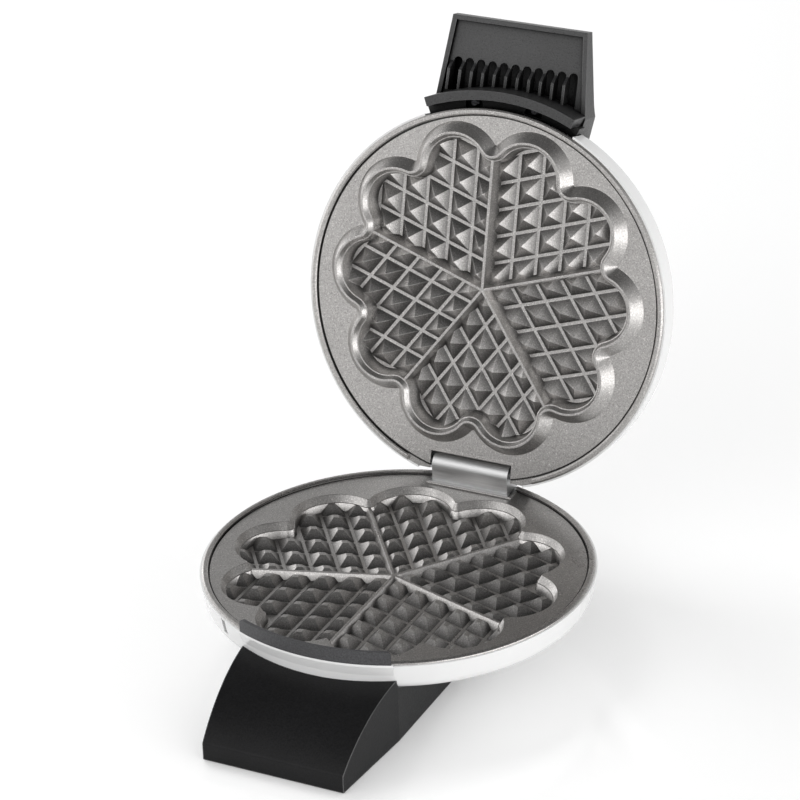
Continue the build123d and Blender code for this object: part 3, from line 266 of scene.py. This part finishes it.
def axis_distance(tree, coordinates, centre, axis):
    """How far a point is from the line through a centre along an axis."""
    offset = vector_maths(tree, "SUBTRACT", coordinates, centre)
    across = vector_maths(tree, "CROSS_PRODUCT", offset, axis)
    return vector_maths(tree, "LENGTH", across, result="Value")


def rounded_normal(tree, radius):
    """Normal over edges that look rounded."""
    bevel = node(tree, "ShaderNodeBevel", samples=bevel_samples)
    bevel.inputs["Radius"].default_value = radius
    return bevel.outputs["Normal"]


def soften(tree, shader, height, depth, edge, axis=None, flat=None):
    """Bump from a height, over edges rounded by a bevel.

    An axis makes slopes look less steep towards it. Where flat is 1, the mesh's true normals are taken.
    """
    bump = node(tree, "ShaderNodeBump")
    bump.inputs["Distance"].default_value = depth
    tree.links.new(height, bump.inputs["Height"])
    if edge:
        base = rounded_normal(tree, edge)
        if flat:
            true_normal = node(tree, "ShaderNodeNewGeometry").outputs["True Normal"]
            base = mix_vectors(tree, flat, base, true_normal)
        tree.links.new(base, bump.inputs["Normal"])
    normal = bump.outputs["Normal"]
    if axis:
        turned = node(tree, "ShaderNodeVectorTransform", vector_type="VECTOR",
                      convert_from="OBJECT", convert_to="WORLD")
        turned.inputs[0].default_value = shade(axis, slope_easing)
        eased = vector_maths(tree, "ADD", normal, turned.outputs[0])
        normal = vector_maths(tree, "NORMALIZE", eased)
    tree.links.new(normal, shader.inputs["Normal"])


def edge_share(tree, radius):
    """Share from 0 on a face to 1 on its edges, within a radius of them."""
    plain = node(tree, "ShaderNodeNewGeometry").outputs["Normal"]
    facing = vector_maths(tree, "DOT_PRODUCT", rounded_normal(tree, radius), plain, result="Value")
    return map_range(tree, facing, (face_facing, edge_facing), (0, 1))


# Materials

def painted_slope_shade(tree, coordinates, axis, floor_level, tip_level):
    """1 on the flats, and on the slopes painted shade that lightens from the moulds' floor to painted light at
    the pyramids' tips.
    """
    level = vector_maths(tree, "DOT_PRODUCT", coordinates, axis, result="Value")
    rise = map_range(tree, level, (floor_level, tip_level), (slope_foot_painted_shade, slope_tip_painted_light), "SMOOTHSTEP")
    normal = node(tree, "ShaderNodeTexCoord").outputs["Normal"]
    facing = vector_maths(tree, "DOT_PRODUCT", normal, axis, result="Value")
    slope = map_range(tree, facing, (flat_facing, slope_facing), (0, 1))
    return mix(tree, slope, 1.0, rise)


def painted_groove_share(tree, coordinates, centre, axis):
    """1 all over, and painted shade on the fine line of the groove inside the rim."""
    radius = axis_distance(tree, coordinates, centre, axis)
    line = maths(tree, "COMPARE", radius, groove_radius, groove_half)
    return maths(tree, "MULTIPLY_ADD", line, painted_groove_tone - 1, 1.0)


def plate_coating(name, axis, centre, floor_level, tip_level):
    """Warm grey speckled non-stick coating, bright on the flats, with painted shade darkening it down the
    slopes of the moulds.
    """
    material, tree, shader, coordinates = new_material(name)
    grey = (0.405, 0.393, 0.383)
    specks = noise(tree, coordinates, scale=1500, detail=3.0, roughness=0.7)
    colour = ramp(tree, specks, [(0.34, shade(grey, 0.66)), (0.46, shade(grey, 0.92)),
                                 (0.58, shade(grey, 1.05)), (0.7, shade(grey, 1.75))])
    # Colour scale: the slopes' painted shade times the groove's painted shade
    share = maths(tree, "MULTIPLY", painted_slope_shade(tree, coordinates, axis, floor_level, tip_level),
                  painted_groove_share(tree, coordinates, centre, axis))
    tree.links.new(scaled(tree, colour, share), shader.inputs["Base Color"])
    wear = noise(tree, coordinates, scale=60, detail=3.0)
    tree.links.new(spread(tree, wear, 0.26, 0.34), shader.inputs["Roughness"])
    shader.inputs["Metallic"].default_value = 0.92
    soften(tree, shader, noise(tree, coordinates, scale=1700), depth=0.014 * MM, edge=0.35 * MM, axis=axis)
    return material


def white_gloss():
    """Polished white housing plastic."""
    material, tree, shader, coordinates = new_material("white_gloss")
    white = (0.83, 0.83, 0.828)
    cloud = noise(tree, coordinates, scale=18)
    colour = ramp(tree, cloud, [(0.3, shade(white, 0.985)), (0.7, shade(white, 1.01))])
    tree.links.new(colour, shader.inputs["Base Color"])
    tree.links.new(spread(tree, noise(tree, coordinates, scale=45), 0.13, 0.2), shader.inputs["Roughness"])
    shader.inputs["Coat Weight"].default_value = 0.25
    shader.inputs["Coat Roughness"].default_value = 0.06
    pole = maths(tree, "LESS_THAN", axis_distance(tree, coordinates, lid_centre, lid_axis), pole_radius)
    soften(tree, shader, noise(tree, coordinates, scale=130, detail=1.0), depth=0.012 * MM, edge=0.5 * MM,
           flat=pole)
    return material


def grained_plastic(name, colour, roughness, grain=1400, depth=0.05, edge=0.4, ior=1.45, painted_shade_reach=0, painted_edge_highlight=0):
    """Moulded plastic or rubber with a fine spark-eroded grain; depth and edge in millimetres.

    Cavities of a given size in metres get painted shade in colour and reflection, and the edge setting paints a
    highlight by making the edges glossier.
    """
    material, tree, shader, coordinates = new_material(name)
    grains = noise(tree, coordinates, scale=grain, roughness=0.6)
    cloud = noise(tree, coordinates, scale=25, detail=3.0)
    tone = ramp(tree, cloud, [(0.3, shade(colour, 0.86)), (0.7, shade(colour, 1.14))])
    tone = scaled(tree, tone, spread(tree, grains, 0.6, 1.4))
    # Painted shade in cavities: ambient occlusion darkens the colour and the reflection
    if painted_shade_reach:
        openness = node(tree, "ShaderNodeAmbientOcclusion", samples=openness_samples)
        openness.inputs["Distance"].default_value = painted_shade_reach
        painted_cavity_shade = maths(tree, "POWER", openness.outputs["AO"], 2.0)
        tone = scaled(tree, tone, painted_cavity_shade)
    # Painted highlight on the edges: the specular level rises along them, and the cavities' painted shade
    # lowers it
    if painted_edge_highlight:
        gloss = maths(tree, "MULTIPLY_ADD", edge_share(tree, edge * MM), painted_edge_highlight, 0.5)
        if painted_shade_reach:
            gloss = maths(tree, "MULTIPLY", gloss, painted_cavity_shade)
        tree.links.new(gloss, shader.inputs["Specular IOR Level"])
    tree.links.new(tone, shader.inputs["Base Color"])
    tree.links.new(spread(tree, grains, roughness - 0.06, roughness + 0.08), shader.inputs["Roughness"])
    shader.inputs["IOR"].default_value = ior
    soften(tree, shader, grains, depth * MM, edge * MM)
    return material


def brushed_metal(name, colour, roughness, stretch, edge=0.25):
    """Metal with fine lines along one direction."""
    material, tree, shader, coordinates = new_material(name)
    lines = noise(tree, coordinates, scale=1.0, detail=4.0, roughness=0.65, stretch=stretch)
    tone = ramp(tree, lines, [(0.3, shade(colour, 0.82)), (0.7, shade(colour, 1.12))])
    tree.links.new(tone, shader.inputs["Base Color"])
    tree.links.new(spread(tree, lines, roughness - 0.06, roughness + 0.09), shader.inputs["Roughness"])
    shader.inputs["Metallic"].default_value = 1.0
    soften(tree, shader, lines, depth=0.02 * MM, edge=edge * MM)
    return material


def plated_steel(name, zinc):
    """Plated steel with faint crystals."""
    material, tree, shader, coordinates = new_material(name)
    crystals = cells(tree, coordinates, scale=900)
    tone = ramp(tree, crystals, [(0.0, shade(zinc, 0.85)), (0.8, shade(zinc, 1.15))])
    tree.links.new(tone, shader.inputs["Base Color"])
    tree.links.new(spread(tree, noise(tree, coordinates, scale=300), 0.26, 0.4), shader.inputs["Roughness"])
    shader.inputs["Metallic"].default_value = 1.0
    soften(tree, shader, noise(tree, coordinates, scale=500), depth=0.02 * MM, edge=0.15 * MM)
    return material


def heated_tube():
    """Heater sheath, dull and blued in patches."""
    material, tree, shader, coordinates = new_material("heated_tube")
    patches = noise(tree, coordinates, scale=70, detail=4.0)
    tone = ramp(tree, patches, [(0.35, (0.09, 0.085, 0.09)), (0.5, (0.2, 0.17, 0.14)),
                                (0.68, (0.28, 0.24, 0.2))])
    tree.links.new(tone, shader.inputs["Base Color"])
    tree.links.new(spread(tree, patches, 0.4, 0.62), shader.inputs["Roughness"])
    shader.inputs["Metallic"].default_value = 0.85
    soften(tree, shader, noise(tree, coordinates, scale=900), depth=0.04 * MM, edge=0)
    return material


def tinted_lens(name, colour):
    """Small clear lens with fine inner facets."""
    material, tree, shader, coordinates = new_material(name)
    facets = cells(tree, coordinates, scale=1200)
    tone = ramp(tree, facets, [(0.0, shade(colour, 0.7)), (0.7, shade(colour, 1.2))])
    tree.links.new(tone, shader.inputs["Base Color"])
    tree.links.new(spread(tree, noise(tree, coordinates, scale=400), 0.08, 0.16), shader.inputs["Roughness"])
    shader.inputs["Transmission Weight"].default_value = 0.35
    shader.inputs["IOR"].default_value = 1.49
    soften(tree, shader, facets, depth=0.02 * MM, edge=0.2 * MM)
    return material


# Materials by the record's slots
materials = {
    "plate_coating": plate_coating("plate_coating", base_axis, base_centre, base_floor_level, base_tip_level),
    "white_gloss": white_gloss(),
    # Black plastic: painted shade in its cavities and a painted highlight on its edges
    "black_plastic": grained_plastic("black_plastic", (0.03, 0.03, 0.0305), 0.32, depth=0.14, edge=0.6,
                                     painted_shade_reach=9 * MM, painted_edge_highlight=1.0),
    "grey_band": grained_plastic("grey_band", (0.05, 0.05, 0.053), 0.4),
    "black_rubber": grained_plastic("black_rubber", (0.02, 0.02, 0.02), 0.7, grain=900, depth=0.1),
    "grey_rubber": grained_plastic("grey_rubber", (0.06, 0.06, 0.06), 0.75, grain=900, depth=0.1),
    "terminal_plastic": grained_plastic("terminal_plastic", (0.72, 0.7, 0.64), 0.45, grain=700),
    "fuse_body": grained_plastic("fuse_body", (0.55, 0.5, 0.4), 0.35, grain=600),
    "satin_metal": brushed_metal("satin_metal", (0.5, 0.5, 0.5), 0.4, (40, 2600, 2600)),
    "aluminium_sheet": brushed_metal("aluminium_sheet", (0.72, 0.72, 0.73), 0.3, (60, 1800, 1800)),
    "zinc_steel": plated_steel("zinc_steel", (0.56, 0.57, 0.58)),
    "black_steel": plated_steel("black_steel", (0.03, 0.03, 0.032)),
    "heater_steel": heated_tube(),
    "red_lens": tinted_lens("red_lens", (0.6, 0.03, 0.02)),
    "green_lens": tinted_lens("green_lens", (0.03, 0.4, 0.08)),
    "lamp_glass": tinted_lens("lamp_glass", (0.75, 0.6, 0.45)),
}

# Nodes whose material differs from their slot's
own_materials = {
    "upper_plate": plate_coating("upper_plate_coating", lid_axis, lid_centre, lid_floor_level, lid_tip_level),
    # The foot's edges get a strong painted highlight
    "front_foot": grained_plastic("foot_plastic", (0.007, 0.007, 0.0075), 0.4, depth=0.08, edge=0.8, ior=1.25,
                                  painted_edge_highlight=6.0),
}


def dress_nodes():
    """Give every CAD node the material that its record slot names, or its own."""
    for part in frame["record"]["subparts"]:
        made = frame["nodes"][part["node"]]
        material = own_materials.get(part["node"], materials[part["material_slot"]])
        if not made.material_slots:
            made.data.materials.append(material)
        for place in made.material_slots:
            place.material = material


# Stage

def white_ground():
    """Pale floor that keeps the shadow and otherwise shows as white to the camera."""
    material = bpy.data.materials.new("white_ground")
    material.use_nodes = True
    tree = material.node_tree
    shader = tree.nodes["Principled BSDF"]
    shader.inputs["Base Color"].default_value = (floor_white, floor_white, floor_white, 1)
    shader.inputs["Roughness"].default_value = floor_roughness
    shader.inputs["IOR"].default_value = floor_ior
    rays = node(tree, "ShaderNodeLightPath")
    seen = maths(tree, "MAXIMUM", rays.outputs["Is Camera Ray"], rays.outputs["Is Glossy Ray"])
    glow = node(tree, "ShaderNodeEmission")
    glow.inputs["Color"].default_value = (1, 1, 1, 1)
    tree.links.new(maths(tree, "MULTIPLY", seen, floor_lift), glow.inputs["Strength"])
    both = node(tree, "ShaderNodeAddShader")
    tree.links.new(shader.outputs["BSDF"], both.inputs[0])
    tree.links.new(glow.outputs["Emission"], both.inputs[1])
    tree.links.new(both.outputs["Shader"], tree.nodes["Material Output"].inputs["Surface"])
    return material


def add_floor():
    mesh = bpy.data.meshes.new("floor")
    shape = bmesh.new()
    bmesh.ops.create_grid(shape, x_segments=floor_cells, y_segments=floor_cells, size=floor_half)
    shape.to_mesh(mesh)
    shape.free()
    floor = bpy.data.objects.new("floor", mesh)
    mesh.materials.append(white_ground())
    scene.collection.objects.link(floor)


def add_world():
    """White to the camera, white walls under a dark ceiling in reflections, and soft light for the rest."""
    world = bpy.data.worlds.new("studio")
    scene.world = world
    world.use_nodes = True
    tree = world.node_tree
    background = tree.nodes["Background"]
    background.inputs["Color"].default_value = (1, 1, 1, 1)
    direction = node(tree, "ShaderNodeSeparateXYZ")
    tree.links.new(node(tree, "ShaderNodeTexCoord").outputs["Generated"], direction.inputs["Vector"])
    x, y, z = (direction.outputs[name] for name in "XYZ")
    height = maths(tree, "MULTIPLY_ADD", y, ceiling_lean, z)
    walls = map_range(tree, height, (wall_top, ceiling_start), (wall_light, ceiling_light), "SMOOTHSTEP")
    side = map_range(tree, x, (left_end, right_start), (left_share, right_share), "SMOOTHSTEP")
    mirrored = maths(tree, "MULTIPLY", walls, side)
    overhead = map_range(tree, z, (0, 1), (low_light, top_light))
    soft = maths(tree, "MULTIPLY_ADD", x, right_light, overhead)
    rays = node(tree, "ShaderNodeLightPath").outputs
    seen = maths(tree, "MAXIMUM", rays["Is Camera Ray"], rays["Is Transmission Ray"])
    light = mix(tree, rays["Is Glossy Ray"], soft, mirrored)
    tree.links.new(mix(tree, seen, light, 1.0), background.inputs["Strength"])


def add_softbox(name, azimuth, elevation, distance, size, radiance, mirrored=True):
    """Rectangular lamp that faces the part."""
    a, e = radians(azimuth), radians(elevation)
    aim = Vector((middle.x, middle.y, lamp_aim_height))
    place = aim + Vector((sin(a) * cos(e), -cos(a) * cos(e), sin(e))) * distance
    data = bpy.data.lights.new(name, "AREA")
    data.shape = "RECTANGLE"
    data.size, data.size_y = size
    data.energy = radiance * pi * size[0] * size[1]
    light = bpy.data.objects.new(name, data)
    light.location = place
    light.visible_glossy = mirrored
    light.rotation_euler = (aim - place).to_track_quat("-Z", "Y").to_euler()
    scene.collection.objects.link(light)


dress_nodes()
add_camera()
add_floor()
add_world()
for softbox in softboxes:
    add_softbox(**softbox)
scene.view_settings.view_transform = "Standard"
